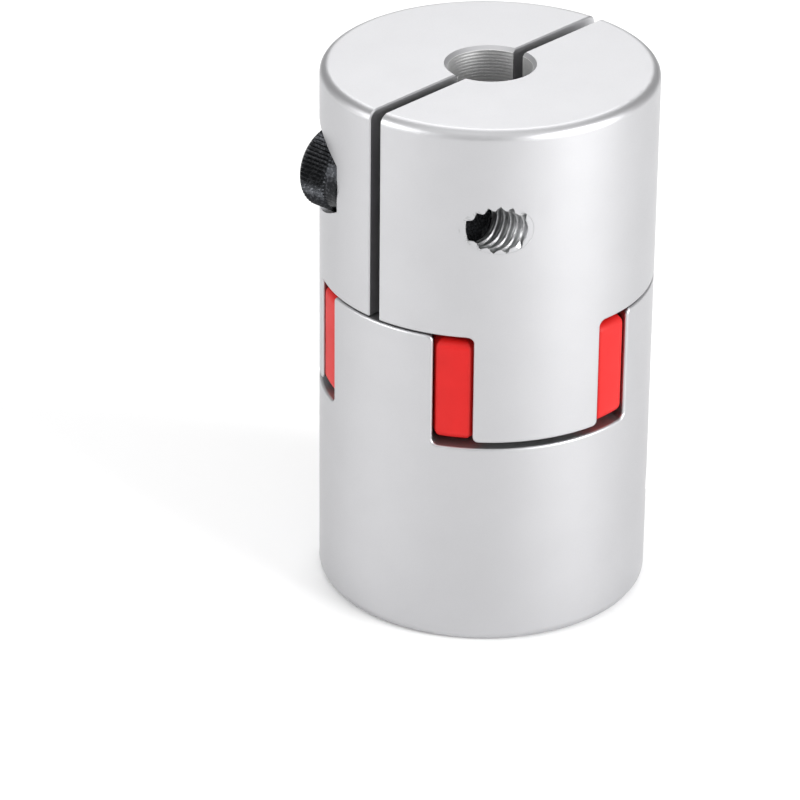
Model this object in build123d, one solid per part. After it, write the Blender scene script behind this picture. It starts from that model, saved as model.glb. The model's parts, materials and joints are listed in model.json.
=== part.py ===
from build123d import *
import os
from math import radians, tan

# A backlash-free jaw coupling for two 10 mm shafts: two slit clamp hubs, an elastomer spider
# between their jaws, and one M6 cap screw in each hub. +Z is the shaft axis, the origin is the
# centre of the lower bore's mouth, and +X is where the upper hub is slit. Millimetres.

# Hubs
hub_diameter = 40.0
hub_length = 26.1             # the clamping body of one hub, without its jaws
bore_diameter = 10.0
bore_chamfer = 0.45
hub_gap = 14.4                # between the two bodies, filled by jaws and spider
rim_fillet = 1.2              # outer edge of the face that the shaft enters
edge_fillet = 0.3             # outer edges of the jaws and of the spaces between them
slit_width = 1.5
slit_chamfer = 0.15
upper_relief_depth = 15.0     # the upper hub's slit goes on past the bore, this deep
lower_relief_depth = 0.0      # the lower hub is slit on one side only

# Jaws
jaw_count = 3                 # on each hub
jaw_thickness = 8.8           # from a jaw's inner face to the hub's outside
upper_jaw_tip_gap = 0.75      # from the upper hub's jaw tips to the lower hub's body
lower_jaw_tip_gap = 0.2       # from the lower hub's jaw tips to the upper hub's body
jaw_tip_fillet = 0.7
jaw_root_fillet = 0.7
jaw_inner_fillet = 1.0        # upright edges of a jaw's inner face

# Spider: a ring with an arm in each space between two jaws
spider_face_gap = 0.8         # from the arms' faces to each hub's body
ring_width = 1.9
ring_clearance = 0.3          # from the ring to the jaws' inner faces
ring_recess = 0.5             # how far the ring lies below the arms' faces
arm_start = 1.0               # from the ring's hole to where an arm stands up from the ring
arm_half_width = 3.4          # at the widest place
arm_end_half_width = 2.05     # where the arm would reach the hubs' outside
arm_widest_inset = 5.8        # from the hubs' outside to the widest place
arm_clearance = 0.1           # from an arm's flank to a jaw's flank
arm_end_recess = 0.35         # how far the arm's end lies inside the hubs' outside
arm_corner_fillet = 0.9
arm_edge_fillet = 0.8

# Clamp screws: M6 x 18 socket cap screws
screw_inset = 5.9             # from the hub's outside to the screw axis, at the slit
screw_from_face = 12.2        # from the face that the shaft enters to the screw axis
screw_seat = 7.1              # from the middle of the slit to the seat under the head
screw_length = 18.0
thread_diameter = 5.9         # over the crests of the screw's thread
thread_clearance = 0.05       # all round, between the thread and its hole
thread_tip_chamfer = 0.7
shank_hole_diameter = 6.6     # the plain hole between the seat and the slit
head_diameter = 10.0
head_height = 6.0
head_top_chamfer = 0.5
head_seat_chamfer = 0.25
head_pocket_clearance = 0.45  # all round the head
socket_across_flats = 5.0
socket_depth = 3.0

# Worked out from the sizes above
hub_radius = hub_diameter / 2
total_length = 2 * hub_length + hub_gap
jaw_inner_radius = hub_radius - jaw_thickness
ring_outer_radius = jaw_inner_radius - ring_clearance
ring_hole_radius = ring_outer_radius - ring_width
spider_thickness = hub_gap - 2 * spider_face_gap
arm_widest_radius = hub_radius - arm_widest_inset
arm_narrowing = arm_half_width - arm_end_half_width
arm_crown_radius = (arm_widest_inset ** 2 + arm_narrowing ** 2) / (2 * arm_narrowing)
screw_offset = hub_radius - screw_inset
arm_pitch = 180 / jaw_count   # degrees from one arm to the next
arm_angles = [arm_pitch * (i + 0.5) for i in range(2 * jaw_count)]
jaw_angles = [arm_pitch * (2 * i + 1) for i in range(jaw_count)]
overrun = 1.0                 # how far a cutter runs past the face that it cuts
near = 0.02                   # tolerance for finding edges and faces by their place


def arm_outline(margin):
    """An arm's lens shape along +X, grown by margin: what two large discs have in common."""
    disc = Circle(arm_crown_radius + margin)
    shift = arm_crown_radius - arm_half_width
    return Pos(arm_widest_radius, shift) * disc & Pos(arm_widest_radius, -shift) * disc


def jaw_outline(outer_radius):
    """One jaw along +X, seen along the shaft: a stretch of ring between two arms' spaces."""
    reach = 2 * outer_radius
    side = reach * tan(radians(arm_pitch / 2))
    wedge = make_face(Polyline((0, 0), (reach, -side), (reach, side), close=True))
    jaw = (Circle(outer_radius) - Circle(jaw_inner_radius)) & wedge
    for angle in (-arm_pitch / 2, arm_pitch / 2):
        jaw -= Rot(0, 0, angle) * arm_outline(arm_clearance)
    inner_corners = jaw.vertices().sort_by_distance((0, 0))[:2]
    return fillet(inner_corners, jaw_inner_fillet)


def axis_distances(edge):
    """The nearest and the furthest end of an edge from the shaft axis."""
    ends = sorted(Vector(v.X, v.Y, 0).length for v in edge.vertices())
    return ends[0], ends[-1]


def jaw_space_cutter(jaw_height):
    """What is milled away between and inside the jaws, rounded where it meets the body."""
    outer_radius = hub_radius + overrun
    outline = Circle(outer_radius)
    for angle in jaw_angles:
        outline -= Rot(0, 0, angle) * jaw_outline(outer_radius + overrun)
    space = extrude(outline, jaw_height + overrun)
    floor_edges = space.faces().sort_by(Axis.Z)[0].edges()
    return fillet([e for e in floor_edges if axis_distances(e)[0] < hub_radius], jaw_root_fillet)


def tip_edges(shape, z):
    """The edges at height z that run round the jaws' tips, apart from those on the outside."""
    level = shape.edges().filter_by_position(Axis.Z, z - near, z + near)
    return [e for e in level if axis_distances(e)[0] < hub_radius - near]


def outside_edges(shape, lowest):
    """The edges on the hub's outside, from the height lowest upwards."""
    return [e for e in shape.edges()
            if axis_distances(e)[0] > hub_radius - near and e.bounding_box().min.Z > lowest]


def jawed_blank(jaw_height):
    """The hub before it is bored: its body from z = 0 up, and its jaws on top of that."""
    tip = hub_length + jaw_height
    blank = extrude(Circle(hub_radius), tip)
    blank = fillet(blank.edges().sort_by(Axis.Z)[0], rim_fillet)
    blank -= Pos(0, 0, hub_length) * jaw_space_cutter(jaw_height)
    blank = fillet(tip_edges(blank, tip), jaw_tip_fillet)
    return fillet(outside_edges(blank, hub_length - near), edge_fillet)


def bore_cutter():
    """The shaft's hole through the body, with a chamfer at each end."""
    radius = bore_diameter / 2
    hole = Pos(0, 0, -overrun) * extrude(Circle(radius), hub_length + 2 * overrun)
    cone = Cone(radius + bore_chamfer, radius, bore_chamfer, align=(Align.CENTER, Align.CENTER, Align.MIN))
    return hole + cone + Pos(0, 0, hub_length) * Rot(180, 0, 0) * cone


def slit_cutter(direction, depth):
    """A saw cut from the bore to the outside, depth deep from z = 0, towards +X or -X."""
    length = hub_radius + overrun
    cut = Box(length, slit_width, depth + overrun, align=(Align.MIN, Align.CENTER, Align.MIN))
    return Rot(0, 0, direction) * Pos(0, 0, -overrun) * cut


def slit_edges(shape):
    """The edges where the slit's walls come out at the hub's outside and at the shaft's face."""
    walls = [e for e in shape.edges()
             if e.bounding_box().size.Y < near and abs(abs(e.center().Y) - slit_width / 2) < near]
    return [e for e in walls
            if e.bounding_box().max.Z < near or axis_distances(e)[0] > hub_radius - rim_fillet - near]


def screw_hole_cutter():
    """Head pocket, plain hole and threaded hole on one line along Y, with the head at +Y."""
    reach = hub_radius + overrun
    pocket = extrude(Circle(head_diameter / 2 + head_pocket_clearance), reach)
    plain = extrude(Circle(shank_hole_diameter / 2), screw_seat + overrun)
    threaded = extrude(Circle(thread_diameter / 2 + thread_clearance), -reach)
    along_y = Rot(-90, 0, 0)
    holes = along_y * threaded + along_y * plain + Pos(0, screw_seat, 0) * along_y * pocket
    return Pos(screw_offset, 0, screw_from_face) * holes


def hub(jaw_height, relief_depth):
    """A clamp hub standing on the face that the shaft enters, slit towards +X."""
    shape = jawed_blank(jaw_height) - bore_cutter()
    shape -= slit_cutter(0, hub_length + overrun)
    if relief_depth > 0:
        shape -= slit_cutter(180, relief_depth)
    return chamfer(slit_edges(shape), slit_chamfer) - screw_hole_cutter()


def spider_arm():
    """One arm along +X, standing on z = 0, rounded all over."""
    outline = arm_outline(0) & Circle(hub_radius - arm_end_recess)
    arm = extrude(outline - Circle(ring_hole_radius + arm_start), spider_thickness)
    arm = fillet(arm.edges().filter_by(Axis.Z), arm_corner_fillet)
    faces = arm.faces().sort_by(Axis.Z)
    return fillet(faces[0].edges() + faces[-1].edges(), arm_edge_fillet)


def spider():
    """The elastomer star, moulded in one piece, halfway between the hubs."""
    outline = Circle(ring_outer_radius) - Circle(ring_hole_radius)
    star = Pos(0, 0, ring_recess) * extrude(outline, spider_thickness - 2 * ring_recess)
    for angle in arm_angles:
        star += Rot(0, 0, angle) * spider_arm()
    return Pos(0, 0, (total_length - spider_thickness) / 2) * star


def clamp_screw():
    """A cap screw with its seat at the origin and its head towards -Y."""
    head = extrude(Circle(head_diameter / 2), head_height)
    head = chamfer(head.edges().sort_by(Axis.Z)[-1], head_top_chamfer)
    head = chamfer(head.edges().sort_by(Axis.Z)[0], head_seat_chamfer)
    socket = extrude(RegularPolygon(socket_across_flats / 2, 6, major_radius=False), socket_depth)
    head -= Pos(0, 0, head_height - socket_depth) * socket
    shank = extrude(Circle(thread_diameter / 2), -screw_length)
    shank = chamfer(shank.edges().sort_by(Axis.Z)[0], thread_tip_chamfer)
    return Rot(90, 0, 0) * (head + shank)


def coupling():
    """Every piece by its node name, in its place."""
    upper_place = Pos(0, 0, total_length) * Rot(180, 0, 0)
    lower_place = Rot(0, 0, 180)
    upper_screw = Pos(screw_offset, -screw_seat, total_length - screw_from_face)
    lower_screw = Pos(-screw_offset, -screw_seat, screw_from_face)
    return {
        "lower_hub": lower_place * hub(hub_gap - lower_jaw_tip_gap, lower_relief_depth),
        "upper_hub": upper_place * hub(hub_gap - upper_jaw_tip_gap, upper_relief_depth),
        "spider": spider(),
        "lower_clamp_screw": lower_screw * clamp_screw(),
        "upper_clamp_screw": upper_screw * clamp_screw(),
    }


os.makedirs("parts", exist_ok=True)
for node, shape in coupling().items():
    export_step(shape, f"parts/{node}.step")
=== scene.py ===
import json
import math

import bpy
import numpy as np
from mathutils import Matrix, Vector


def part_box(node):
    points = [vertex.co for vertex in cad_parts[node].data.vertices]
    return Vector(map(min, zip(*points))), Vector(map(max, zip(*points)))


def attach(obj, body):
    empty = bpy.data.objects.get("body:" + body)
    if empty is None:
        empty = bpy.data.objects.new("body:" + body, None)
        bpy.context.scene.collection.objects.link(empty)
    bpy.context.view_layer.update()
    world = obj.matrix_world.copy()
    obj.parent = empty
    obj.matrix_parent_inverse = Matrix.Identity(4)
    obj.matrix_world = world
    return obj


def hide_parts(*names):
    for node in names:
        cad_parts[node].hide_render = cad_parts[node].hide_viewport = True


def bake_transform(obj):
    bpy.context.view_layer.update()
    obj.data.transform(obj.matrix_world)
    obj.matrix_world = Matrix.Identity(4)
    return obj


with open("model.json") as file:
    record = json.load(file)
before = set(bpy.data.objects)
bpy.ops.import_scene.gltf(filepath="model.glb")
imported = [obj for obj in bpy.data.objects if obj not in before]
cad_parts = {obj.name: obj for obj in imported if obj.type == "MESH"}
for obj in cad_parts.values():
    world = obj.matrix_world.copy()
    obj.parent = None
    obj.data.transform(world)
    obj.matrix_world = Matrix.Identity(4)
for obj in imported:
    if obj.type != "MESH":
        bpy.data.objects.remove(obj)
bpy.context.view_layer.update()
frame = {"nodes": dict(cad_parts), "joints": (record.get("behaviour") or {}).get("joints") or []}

# Jaw coupling: two clear anodised clamp hubs, a red spider between their jaws, black cap screws.
# Metres, in the frame's axes: +Z along the shafts, +X towards the upper slit, screw heads at -Y.

mm = 0.001
joints = {j["name"]: j for j in frame["joints"]}
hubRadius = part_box("upper_hub")[1].y
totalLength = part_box("upper_hub")[1].z


# a hex colour as it looks on screen, turned into the linear values that shaders use
def linear(hexCode):
    parts = [int(hexCode[i:i + 2], 16) / 255 for i in (1, 3, 5)]
    return [p / 12.92 if p <= 0.04045 else ((p + 0.055) / 1.055) ** 2.4 for p in parts] + [1]


colourA, colourB, colourOut = 6, 7, 2    # a colour Mix node's two colours and its result


# one node, its settings and what feeds its inputs: a number, a colour or another node's output
def addNode(tree, kind, settings={}, feeds={}):
    node = tree.nodes.new("ShaderNode" + kind)
    for name, value in settings.items():
        setattr(node, name, value)
    for socket, value in feeds.items():
        if isinstance(value, bpy.types.NodeSocket):
            tree.links.new(value, node.inputs[socket])
        else:
            node.inputs[socket].default_value = value
    return node


def startMaterial(name):
    material = bpy.data.materials.new(name)
    material.use_nodes = True
    tree = material.node_tree
    tree.nodes.clear()
    return material, tree


def endMaterial(tree, shader):
    addNode(tree, "OutputMaterial", {}, {"Surface": shader.outputs["BSDF"]})


print("materials")

# Anodised aluminium, turned, bead blasted and clear anodised: an even pale satin that
# carries soft broad reflections, a whisper of grit, and painted light on the bored wall: a brighter colour
# there.
hubFinish = {
    "colour": "#BFBFC1",
    "colourInGrain": "#B9B9BB",
    "colourInBorePaintedLight": "#E6E6E6",   # painted light: a brighter colour that stands in for light reflected round the bore
    "roughness": 0.45,
    "roughnessSpread": 0.07,
    "gritSize": 0.16 * mm,       # real blasting grit leaves 0.05 mm pits, too fine to show
    "gritDepth": 0.004 * mm,
    "gritRange": (0.3, 0.7),     # where nearly all of the grit noise lies
    "cloudSize": 6 * mm,         # slow change of tone over the anodised skin
    "boreRadius": 5.03 * mm,     # just past the bore's wall
    "toolLines": 0.4 * mm,       # spacing of the boring bar's lines
    "toolLineDepth": 0.005 * mm,
}


def makeAnodisedAluminium(look):
    material, tree = startMaterial("anodised_aluminium_bead_blasted")
    place = addNode(tree, "TexCoord").outputs["Object"]
    grit = addNode(tree, "TexNoise", {}, {"Vector": place, "Scale": 1 / look["gritSize"], "Detail": 2.0})
    cloud = addNode(tree, "TexNoise", {}, {"Vector": place, "Scale": 1 / look["cloudSize"], "Detail": 3.0})
    colour = addNode(tree, "Mix", {"data_type": "RGBA"}, {
        "Factor": cloud.outputs["Fac"],
        colourA: linear(look["colour"]), colourB: linear(look["colourInGrain"])})
    rough = addNode(tree, "MapRange", {}, {
        "Value": grit.outputs["Fac"], "From Min": look["gritRange"][0], "From Max": look["gritRange"][1],
        "To Min": look["roughness"] - look["roughnessSpread"] / 2,
        "To Max": look["roughness"] + look["roughnessSpread"] / 2})
    # inside the bore's radius: a wall painted brighter as light reflected round the bore, with rings from
    # the boring bar
    axes = addNode(tree, "SeparateXYZ", {}, {"Vector": place})
    flat = addNode(tree, "CombineXYZ", {}, {"X": axes.outputs["X"], "Y": axes.outputs["Y"]})
    reach = addNode(tree, "VectorMath", {"operation": "LENGTH"}, {0: flat.outputs["Vector"]})
    inBore = addNode(tree, "Math", {"operation": "LESS_THAN"}, {
        0: reach.outputs["Value"], 1: look["boreRadius"]})
    # painted light: inside the bore the colour switches to the brighter painted one
    skin = addNode(tree, "Mix", {"data_type": "RGBA"}, {
        "Factor": inBore.outputs[0],
        colourA: colour.outputs[colourOut], colourB: linear(look["colourInBorePaintedLight"])})
    turned = addNode(tree, "Math", {"operation": "MULTIPLY"}, {
        0: axes.outputs["Z"], 1: 2 * math.pi / look["toolLines"]})
    lines = addNode(tree, "Math", {"operation": "SINE"}, {0: turned.outputs[0]})
    boreLines = addNode(tree, "Math", {"operation": "MULTIPLY"}, {
        0: lines.outputs[0], 1: inBore.outputs[0]})
    ridges = addNode(tree, "Math", {"operation": "MULTIPLY_ADD"}, {
        0: boreLines.outputs[0], 1: look["toolLineDepth"] / look["gritDepth"], 2: grit.outputs["Fac"]})
    bump = addNode(tree, "Bump", {}, {
        "Height": ridges.outputs[0], "Distance": look["gritDepth"], "Strength": 1.0})
    shader = addNode(tree, "BsdfPrincipled", {}, {
        "Base Color": skin.outputs[colourOut], "Metallic": 1.0,
        "Roughness": rough.outputs["Result"], "Normal": bump.outputs["Normal"]})
    endMaterial(tree, shader)
    return material


# Anodised over a tapped thread: painted a darker grey than the outside as shade inside the hole, duller,
# each turn a soft crescent.
threadFinishPaintedShade = {
    # painted shade: darker than the hub's colour, for the shade inside the screw hole
    "colour": "#A9AAAB",
    "roughnessLow": 0.30,
    "roughnessHigh": 0.46,
    "chatterSize": 0.25 * mm,    # marks of the tap
    "chatterDepth": 0.002 * mm,
}


def makeTappedAluminium(look):
    material, tree = startMaterial("anodised_aluminium_tapped_painted_shade")
    place = addNode(tree, "TexCoord").outputs["Object"]
    chatter = addNode(tree, "TexNoise", {}, {
        "Vector": place, "Scale": 1 / look["chatterSize"], "Detail": 1.0})
    bump = addNode(tree, "Bump", {}, {
        "Height": chatter.outputs["Fac"], "Distance": look["chatterDepth"], "Strength": 1.0})
    rough = addNode(tree, "MapRange", {}, {
        "Value": chatter.outputs["Fac"], "To Min": look["roughnessLow"], "To Max": look["roughnessHigh"]})
    shader = addNode(tree, "BsdfPrincipled", {}, {
        "Base Color": linear(look["colour"]), "Metallic": 1.0,
        "Roughness": rough.outputs["Result"], "Normal": bump.outputs["Normal"]})
    endMaterial(tree, shader)
    return material


# Cast polyurethane, 98 Shore A red: saturated, slightly waxy, with a moulded skin that
# keeps a soft sheen and lets a little light into its edges.
spiderFinish = {
    "colour": "#C4100D",
    "colourInDepth": "#B50A08",
    "roughnessLow": 0.45,
    "roughnessHigh": 0.57,
    "sheen": 0.32,               # specular level, under plastic's usual half
    "cloudSize": 3 * mm,
    "skinGrain": 0.25 * mm,
    "skinDepth": 0.004 * mm,
    "lightShare": 0.12,          # of the light goes in under the skin
    "lightDepth": 0.6 * mm,      # and wanders this far, red furthest
    "lightColours": (1.0, 0.2, 0.15),
}


def makeMouldedPolyurethane(look):
    material, tree = startMaterial("polyurethane_cast_red")
    place = addNode(tree, "TexCoord").outputs["Object"]
    cloud = addNode(tree, "TexNoise", {}, {"Vector": place, "Scale": 1 / look["cloudSize"], "Detail": 3.0})
    grain = addNode(tree, "TexNoise", {}, {"Vector": place, "Scale": 1 / look["skinGrain"], "Detail": 2.0})
    colour = addNode(tree, "Mix", {"data_type": "RGBA"}, {
        "Factor": cloud.outputs["Fac"],
        colourA: linear(look["colour"]), colourB: linear(look["colourInDepth"])})
    rough = addNode(tree, "MapRange", {}, {
        "Value": cloud.outputs["Fac"], "To Min": look["roughnessLow"], "To Max": look["roughnessHigh"]})
    bump = addNode(tree, "Bump", {}, {
        "Height": grain.outputs["Fac"], "Distance": look["skinDepth"], "Strength": 1.0})
    shader = addNode(tree, "BsdfPrincipled", {}, {
        "Base Color": colour.outputs[colourOut], "Roughness": rough.outputs["Result"],
        "Specular IOR Level": look["sheen"],
        "Subsurface Weight": look["lightShare"], "Subsurface Radius": look["lightColours"],
        "Subsurface Scale": look["lightDepth"], "Normal": bump.outputs["Normal"]})
    endMaterial(tree, shader)
    return material


# Black oxide on rolled steel, lightly oiled: nearly black, with a low metallic glint
# on every knurl, thread crest and edge.
screwFinish = {
    "colour": "#222325",
    "colourRubbed": "#4A4B4E",
    "rubbedRange": (0.5, 0.75),  # the tops of the patch noise are rubbed
    "roughnessLow": 0.24,
    "roughnessHigh": 0.32,
    "patchSize": 0.35 * mm,
    "grainSize": 0.12 * mm,
    "grainDepth": 0.004 * mm,
}


def makeBlackOxideSteel(look):
    material, tree = startMaterial("steel_black_oxide_oiled")
    place = addNode(tree, "TexCoord").outputs["Object"]
    patch = addNode(tree, "TexNoise", {}, {"Vector": place, "Scale": 1 / look["patchSize"], "Detail": 4.0})
    grain = addNode(tree, "TexNoise", {}, {"Vector": place, "Scale": 1 / look["grainSize"], "Detail": 2.0})
    rubbed = addNode(tree, "MapRange", {}, {
        "Value": patch.outputs["Fac"],
        "From Min": look["rubbedRange"][0], "From Max": look["rubbedRange"][1]})
    colour = addNode(tree, "Mix", {"data_type": "RGBA"}, {
        "Factor": rubbed.outputs["Result"],
        colourA: linear(look["colour"]), colourB: linear(look["colourRubbed"])})
    rough = addNode(tree, "MapRange", {}, {
        "Value": patch.outputs["Fac"], "To Min": look["roughnessLow"], "To Max": look["roughnessHigh"]})
    bump = addNode(tree, "Bump", {}, {
        "Height": grain.outputs["Fac"], "Distance": look["grainDepth"], "Strength": 1.0})
    shader = addNode(tree, "BsdfPrincipled", {}, {
        "Base Color": colour.outputs[colourOut], "Metallic": 1.0,
        "Roughness": rough.outputs["Result"], "Normal": bump.outputs["Normal"]})
    endMaterial(tree, shader)
    return material


anodised = makeAnodisedAluminium(hubFinish)
tapped = makeTappedAluminium(threadFinishPaintedShade)
polyurethane = makeMouldedPolyurethane(spiderFinish)
blackOxide = makeBlackOxideSteel(screwFinish)


# faces between closed rows of points; the last row may meet the first again
def gridFaces(rows, columns, closeRows):
    faces = []
    for i in range(rows if closeRows else rows - 1):
        here, there = i * columns, (i + 1) % rows * columns
        for j in range(columns):
            k = (j + 1) % columns
            faces.append((here + j, here + k, there + k, there + j))
    return faces


# rings of points stacked into one closed shell, its two ends capped
def stackRings(rings):
    count = len(rings[0])
    points = [p for ring in rings for p in ring]
    faces = gridFaces(len(rings), count, False)
    faces.append(tuple(range(count))[::-1])
    faces.append(tuple(range((len(rings) - 1) * count, len(rings) * count)))
    return points, faces


realEdge = math.radians(32)              # a sharper fold than this shows as an edge


# a finished piece, smooth except at its real edges
def addPiece(name, shells, material, place=Matrix.Identity(4)):
    points, faces = [], []
    for shellPoints, shellFaces in shells:
        faces += [tuple(len(points) + k for k in f) for f in shellFaces]
        points += [place @ Vector(p) for p in shellPoints]
    mesh = bpy.data.meshes.new(name)
    mesh.from_pydata(points, [], faces)
    mesh.validate()
    mesh.polygons.foreach_set("use_smooth", [True] * len(mesh.polygons))
    mesh.set_sharp_from_angle(angle=realEdge)
    mesh.materials.append(material)
    piece = bpy.data.objects.new(name, mesh)
    bpy.context.scene.collection.objects.link(piece)
    return piece


print("hubs")

for node in ("lower_hub", "upper_hub"):
    hubObject = frame["nodes"][node]
    hubObject.data.materials.clear()
    hubObject.data.materials.append(anodised)


print("clamp screws and their threads")

# M6 x 18 cap screw. Its seat comes from the frame's joint; its axis is turned to point the head along -Y.
screw = {
    "headDiameter": 10 * mm,
    "headHeight": 6 * mm,
    "topChamfer": 0.5 * mm,
    "seatChamfer": 0.25 * mm,
    "knurls": 60,
    "knurlDepth": 0.22 * mm,
    "knurlStart": 1.7 * mm,      # from the seat; below it the head is plain
    "socketAcrossFlats": 5 * mm,
    "socketDepth": 3 * mm,
    "socketMouth": 0.25 * mm,    # width of the countersink round the socket
    "socketMouthDepth": 0.15 * mm,
    "socketLedge": 0.35 * mm,    # left flat round the drilled bottom
    "drillTip": 0.4 * mm,
    "drillDepth": 0.9 * mm,
    "length": 18 * mm,
    "pitch": 1 * mm,
    "crestRadius": 2.93 * mm,
    "rootRadius": 2.40 * mm,
    "tipChamfer": 0.7 * mm,
    "runOut": 1.2 * mm,          # plain stretch under the head
    "runOutFade": 0.5 * mm,      # the thread fades out over this
    "holeGap": 0.04 * mm,        # between the screw's thread and the hole's
    "holeRadius": 2.99 * mm,     # behind the hole's thread
    "slitHalf": 0.8 * mm,        # where the hole's thread starts beside the slit
    "threadReach": 13 * mm,      # about how deep the hole's thread is
    "rimRecess": 0.02 * mm,      # how far it stays inside the hub's outside
}


# a metric thread's radius: a quarter of the pitch along each crest and root, flanks between
# them, and the same turns for the screw and for its hole
def threadRadius(angle, z, s):
    turn = (z / s["pitch"] - angle / (2 * math.pi)) % 1.0
    ridge = min(max(1.5 - abs(turn - 0.5) * 4, 0.0), 1.0)
    return s["rootRadius"] + (s["crestRadius"] - s["rootRadius"]) * ridge


# radius of a hexagon's wall, seen from its middle
def hexRadius(angle, acrossFlats):
    return acrossFlats / 2 / math.cos((angle % (math.pi / 3)) - math.pi / 6)


def shankShell(s, columns=96, rowsPerTurn=20):
    rings = []
    rows = int(s["length"] / s["pitch"] * rowsPerTurn)
    for i in range(rows + 1):
        z = -s["length"] + i * s["length"] / rows
        cone = s["crestRadius"] - s["tipChamfer"] + (z + s["length"])
        plain = min(max((z + s["runOut"]) / s["runOutFade"], 0.0), 1.0)
        ring = []
        for j in range(columns):
            angle = 2 * math.pi * j / columns
            radius = threadRadius(angle, z, s)
            radius += (s["crestRadius"] - radius) * plain
            radius = min(radius, cone)
            ring.append((radius * math.cos(angle), radius * math.sin(angle), z))
        rings.append(ring)
    return stackRings(rings)


def headShell(s, columns=720):
    full = s["headDiameter"] / 2
    top = s["headHeight"]
    floor = top - s["socketDepth"]
    rim = s["socketAcrossFlats"] / 2 / math.cos(math.pi / 6) + s["socketMouth"]
    knurlEnd = top - s["topChamfer"] - s["knurlDepth"]
    knurlFull = s["knurlStart"] + 2 * s["knurlDepth"]
    # a few rings up the seat chamfer, the start of the knurls, the knurls and the top chamfer
    sideLevels = np.concatenate([
        np.linspace(0, s["seatChamfer"] + s["knurlDepth"], 5), np.linspace(s["knurlStart"], knurlFull, 5),
        np.linspace(knurlFull, knurlEnd, 6)[1:], np.linspace(knurlEnd, top, 8)[1:]])
    rings = []
    for z in sideLevels:
        cone = min(full - s["seatChamfer"] + z, full - s["topChamfer"] + (top - z))
        ring = []
        for j in range(columns):
            angle = 2 * math.pi * j / columns
            groove = abs((j * s["knurls"] / columns) % 1.0 - 0.5) * 2
            raised = min(max((z - s["knurlStart"]) / (knurlFull - s["knurlStart"]), 0.0), 1.0)
            depth = s["knurlDepth"] * (1 - raised * (1 - groove))
            radius = min(full - depth, cone)
            ring.append((radius * math.cos(angle), radius * math.sin(angle), z))
        rings.append(ring)
    # top face, the countersunk mouth of the socket, its six walls and its drilled bottom
    inward = [(rim, None, top), (None, 0.0, top - s["socketMouthDepth"]), (None, 0.0, floor),
              (None, s["socketLedge"], floor), (s["drillTip"], None, floor - s["drillDepth"])]
    for circle, inset, z in inward:
        ring = []
        for j in range(columns):
            angle = 2 * math.pi * j / columns
            radius = circle if circle else hexRadius(angle, s["socketAcrossFlats"]) - inset
            ring.append((radius * math.cos(angle), radius * math.sin(angle), z))
        rings.append(ring)
    return stackRings(rings)


# the hole's thread: a sleeve from the slit to just inside the hub's curved outside
def holeThreadShell(s, seat, columns=72, rowsPerTurn=20):
    # where a line along the hole, at this radius and angle, comes out of the hub
    def wayOut(radius, angle):
        across = seat.x + radius * math.cos(angle)
        return seat.y - math.sqrt(hubRadius ** 2 - across ** 2) + s["rimRecess"]

    start = seat.y - s["slitHalf"]
    rows = int(s["threadReach"] / s["pitch"] * rowsPerTurn)
    inner = []
    for i in range(rows + 1):
        ring = []
        for j in range(columns):
            angle = 2 * math.pi * j / columns
            end = min(wayOut(s["holeRadius"], angle), wayOut(s["rootRadius"], angle))
            z = start + (end - start) * i / rows
            radius = threadRadius(angle, z, s) + s["holeGap"]
            z = max(z, wayOut(radius, angle))
            ring.append((radius * math.cos(angle), radius * math.sin(angle), z))
        inner.append(ring)
    # the sleeve's back, against the hole's wall
    outer = []
    for atRim in (True, False):
        ring = []
        for j in range(columns):
            angle = 2 * math.pi * j / columns
            z = wayOut(s["holeRadius"], angle) if atRim else start
            ring.append((s["holeRadius"] * math.cos(angle), s["holeRadius"] * math.sin(angle), z))
        outer.append(ring)
    points = [p for ring in inner + outer for p in ring]
    return points, gridFaces(len(inner + outer), columns, True)


flushWith = 0.97                         # cosine between a flush face and the hub's outside

for side in ("lower", "upper"):
    seat = Vector(joints[side + "_screw_turn"]["pos_m"])
    place = Matrix.Translation(seat) @ Matrix.Rotation(math.pi / 2, 4, "X")
    screwPiece = addPiece(side + "_cap_screw", [headShell(screw), shankShell(screw)],
                          blackOxide, place)
    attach(screwPiece, side + "_clamp_screw")
    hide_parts(side + "_clamp_screw")
    threadPiece = addPiece(side + "_hub_thread", [holeThreadShell(screw, seat)],
                           tapped, place)
    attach(threadPiece, side + "_hub")
    # where the thread runs out flush with the hub's outside, it has the hub's blasted skin
    threadPiece.data.materials.append(anodised)
    for face in threadPiece.data.polygons:
        outward = Vector((face.center.x, face.center.y, 0)).normalized()
        if face.normal.dot(outward) > flushWith:
            face.material_index = 1


print("spider")

# Six crowned arms and the ring that joins them, moulded in one.
star = {
    "arms": 6,
    "firstArm": math.radians(30),
    "halfWidth": 3.4 * mm,       # at the widest place
    "endHalfWidth": 1.75 * mm,   # where the arm would reach the hubs' outside
    "widestInset": 5.8 * mm,     # from the hubs' outside to the widest place
    "endRecess": 0.35 * mm,
    "startRadius": 9.6 * mm,     # inside the ring, so the arm grows out of it
    "cornerRadius": 0.45 * mm,
    "leastCorner": 0.06 * mm,    # where the rounding of the faces has drawn the outline in
    "edgeRadius": 1.1 * mm,
    "ringInner": 9.0 * mm,
    "ringOuter": 10.9 * mm,
    "ringRecess": 0.5 * mm,
    "ringRound": 0.5 * mm,
}


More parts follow.
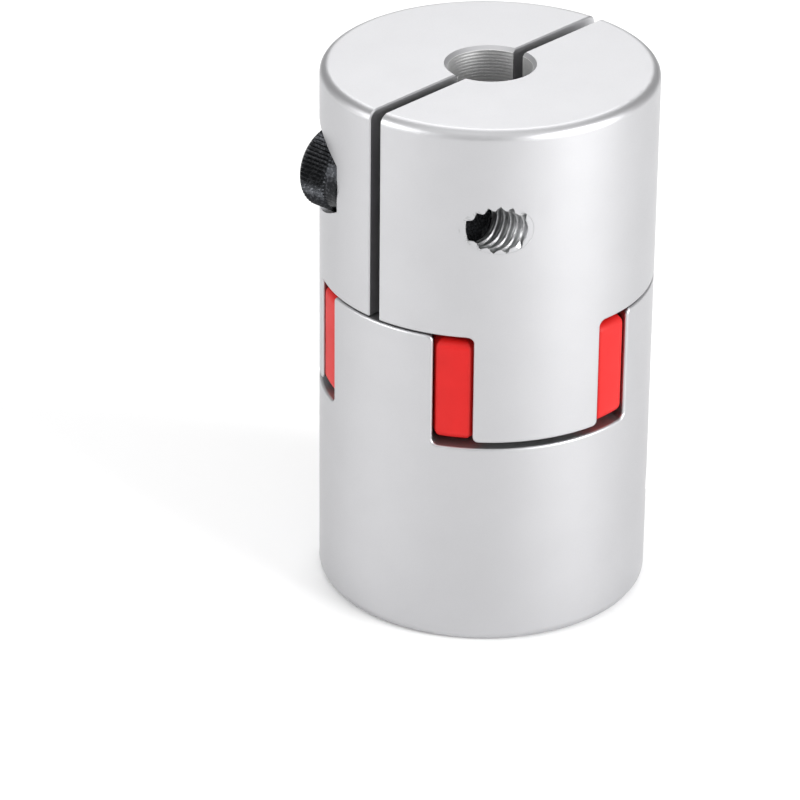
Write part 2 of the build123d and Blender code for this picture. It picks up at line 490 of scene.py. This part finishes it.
# half of an arm's outline along +X, drawn in by a margin: bulging flank, small corner, end
def armOutline(s, margin):
    widest = hubRadius - s["widestInset"]
    narrowing = s["halfWidth"] - s["endHalfWidth"]
    crown = (s["widestInset"] ** 2 + narrowing ** 2) / (2 * narrowing)
    centre = np.array([widest, s["halfWidth"] - crown])
    flank = crown - margin
    end = hubRadius - s["endRecess"] - margin
    corner = max(s["cornerRadius"] - margin, s["leastCorner"])
    # the corner's middle lies where a circle inside the flank meets one inside the end
    gap = np.linalg.norm(centre)
    toCorner, toAxis = flank - corner, end - corner
    along = (toCorner ** 2 - toAxis ** 2 + gap ** 2) / (2 * gap)
    off = math.sqrt(toCorner ** 2 - along ** 2)
    unit = -centre / gap
    middle = centre + unit * along + off * np.array([unit[1], -unit[0]])
    leave = math.atan2(*(middle - centre)[::-1])
    arrive = math.atan2(middle[1], middle[0])
    begin = math.pi / 2 + math.asin((widest - s["startRadius"]) / flank)
    # three arcs one after another: flank, corner and end, each from an angle to an angle
    arcs = [(centre, flank, begin, leave, 18), (middle, corner, leave, arrive, 7), (0, end, arrive, 0, 7)]
    points = []
    for arcCentre, radius, first, last, count in arcs:
        turns = np.linspace(first, last, count)[1 if points else 0:]
        points += [arcCentre + radius * np.array([math.cos(a), math.sin(a)]) for a in turns]
    return points


# an arm with its upper and lower edges rounded: its outline drawn in towards both faces
def armShell(s, low, high):
    rings = []
    quarter = np.linspace(0, math.pi / 2, 9)
    rounding = [(s["edgeRadius"] * (1 - math.sin(a)), s["edgeRadius"] * (1 - math.cos(a))) for a in quarter]
    levels = [(low + rise, margin) for rise, margin in rounding[::-1]]
    levels += [(high - rise, margin) for rise, margin in rounding]
    for z, margin in levels:
        half = armOutline(s, margin)
        rings.append([(x, y, z) for x, y in half] + [(x, -y, z) for x, y in half[-2::-1]])
    return stackRings(rings)


# the ring that joins the arms, with its four edges rounded
def ringShell(s, low, high, columns=144):
    r = s["ringRound"]
    corners = [(s["ringOuter"] - r, low + r), (s["ringOuter"] - r, high - r),
               (s["ringInner"] + r, high - r), (s["ringInner"] + r, low + r)]
    profile = []
    for turn, (radius, z) in enumerate(corners, -1):
        for a in np.linspace(0, math.pi / 2, 6) + turn * math.pi / 2:
            profile.append((radius + r * math.cos(a), z + r * math.sin(a)))
    points = []
    for radius, z in profile:
        for j in range(columns):
            angle = 2 * math.pi * j / columns
            points.append((radius * math.cos(angle), radius * math.sin(angle), z))
    return points, gridFaces(len(profile), columns, True)


spiderLow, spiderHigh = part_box("spider")[0].z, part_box("spider")[1].z
ringMesh = ringShell(star, spiderLow + star["ringRecess"], spiderHigh - star["ringRecess"])
ring = addPiece("spider_ring", [ringMesh], polyurethane)
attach(ring, "spider")
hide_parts("spider")

# an arm has a lower jaw on one flank and an upper jaw on the other, turn and turn about
for i in range(star["arms"]):
    angle = star["firstArm"] + i * 2 * math.pi / star["arms"]
    arm = addPiece(f"spider_arm_{i + 1}", [armShell(star, spiderLow, spiderHigh)],
                   polyurethane, Matrix.Rotation(angle, 4, "Z"))
    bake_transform(arm)
    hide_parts("spider")


print("floor, lights and camera")

studio = {
    "floorColour": "#F6F6F6",
    "floorHalf": 8.0,            # metres, so that its edge lies near the horizon
    "floorRoughness": 0.9,
    "fibreSize": 0.8 * mm,
    "fibreDepth": 0.01 * mm,
    "fibreStrength": 0.3,
    "worldColour": "#FFFFFF",
    "worldStrength": 0.43,
}


def addFloor(look):
    material, tree = startMaterial("paper_sweep_matt_white")
    place = addNode(tree, "TexCoord").outputs["Object"]
    fibre = addNode(tree, "TexNoise", {}, {"Vector": place, "Scale": 1 / look["fibreSize"], "Detail": 3.0})
    bump = addNode(tree, "Bump", {}, {
        "Height": fibre.outputs["Fac"], "Distance": look["fibreDepth"], "Strength": look["fibreStrength"]})
    shader = addNode(tree, "BsdfPrincipled", {}, {
        "Base Color": linear(look["floorColour"]), "Roughness": look["floorRoughness"],
        "Normal": bump.outputs["Normal"]})
    endMaterial(tree, shader)
    half = look["floorHalf"]
    mesh = bpy.data.meshes.new("floor")
    corners = [(-half, -half, 0), (half, -half, 0), (half, half, 0), (-half, half, 0)]
    mesh.from_pydata(corners, [], [(0, 1, 2, 3)])
    mesh.materials.append(material)
    floor = bpy.data.objects.new("floor", mesh)
    bpy.context.scene.collection.objects.link(floor)


# softboxes: degrees round the coupling from -Y towards +X, height in degrees, metres, watts
softboxes = [
    {"name": "low_right", "round": 189, "height": 16, "size": (0.45, 0.34), "power": 7.2},
    {"name": "low_left", "round": 62, "height": 16, "size": (0.45, 0.34), "power": 3.3},
    {"name": "front", "round": 112, "height": 45, "size": (0.95, 0.95), "power": 1.2},
    {"name": "behind", "round": 312, "height": 45, "size": (0.5, 0.5), "power": 2.0},
    {"name": "top", "round": 132, "height": 88, "size": (1.0, 1.0), "power": 2.0},
]
softboxDistance = 0.8


def direction(azimuth, elevation):
    return Vector((math.sin(azimuth) * math.cos(elevation),
                   -math.cos(azimuth) * math.cos(elevation), math.sin(elevation)))


def addSoftbox(look):
    back = direction(math.radians(look["round"]), math.radians(look["height"]))
    light = bpy.data.lights.new(look["name"], "AREA")
    light.shape = "RECTANGLE"
    light.size, light.size_y = look["size"]
    light.energy = look["power"]
    box = bpy.data.objects.new(look["name"], light)
    bpy.context.scene.collection.objects.link(box)
    box.location = Vector((0, 0, totalLength / 2)) + back * softboxDistance
    box.rotation_mode = "QUATERNION"
    box.rotation_quaternion = back.to_track_quat("Z", "Y")


# the camera looks down on the coupling from beside the upper hub's slit
cameraSetup = {
    "azimuth": math.radians(132.0),
    "elevation": math.radians(27.445),
    "roll": math.radians(0.523),
    "distance": 535.8 * mm,
    "panRight": 10.30 * mm,
    "panUp": 9.81 * mm,
    "lens": 200.4,               # millimetres, on the sensor below
    "sensor": 36,
    "nearest": 0.01,             # metres that the camera sees from and to
    "furthest": 20,
}


def addCamera(setup):
    back = direction(setup["azimuth"], setup["elevation"])
    right = Vector((math.cos(setup["azimuth"]), math.sin(setup["azimuth"]), 0))
    up = back.cross(right)
    rolledRight = right * math.cos(setup["roll"]) + up * math.sin(setup["roll"])
    rolledUp = up * math.cos(setup["roll"]) - right * math.sin(setup["roll"])
    data = bpy.data.cameras.new("camera")
    data.sensor_width = setup["sensor"]
    data.lens = setup["lens"]
    data.clip_start, data.clip_end = setup["nearest"], setup["furthest"]
    camera = bpy.data.objects.new("camera", data)
    bpy.context.scene.collection.objects.link(camera)
    target = Vector((0, 0, totalLength / 2))
    turn = Matrix((rolledRight, rolledUp, back)).transposed().to_4x4()
    turn.translation = (target + back * setup["distance"]
                        - rolledRight * setup["panRight"] - rolledUp * setup["panUp"])
    camera.matrix_world = turn
    bpy.context.scene.camera = camera


addFloor(studio)
addCamera(cameraSetup)
for box in softboxes:
    addSoftbox(box)
world = bpy.data.worlds.new("studio")
world.use_nodes = True
sky = world.node_tree.nodes["Background"]
sky.inputs["Color"].default_value = linear(studio["worldColour"])
sky.inputs["Strength"].default_value = studio["worldStrength"]
bpy.context.scene.world = world
bpy.context.scene.view_settings.view_transform = "Standard"
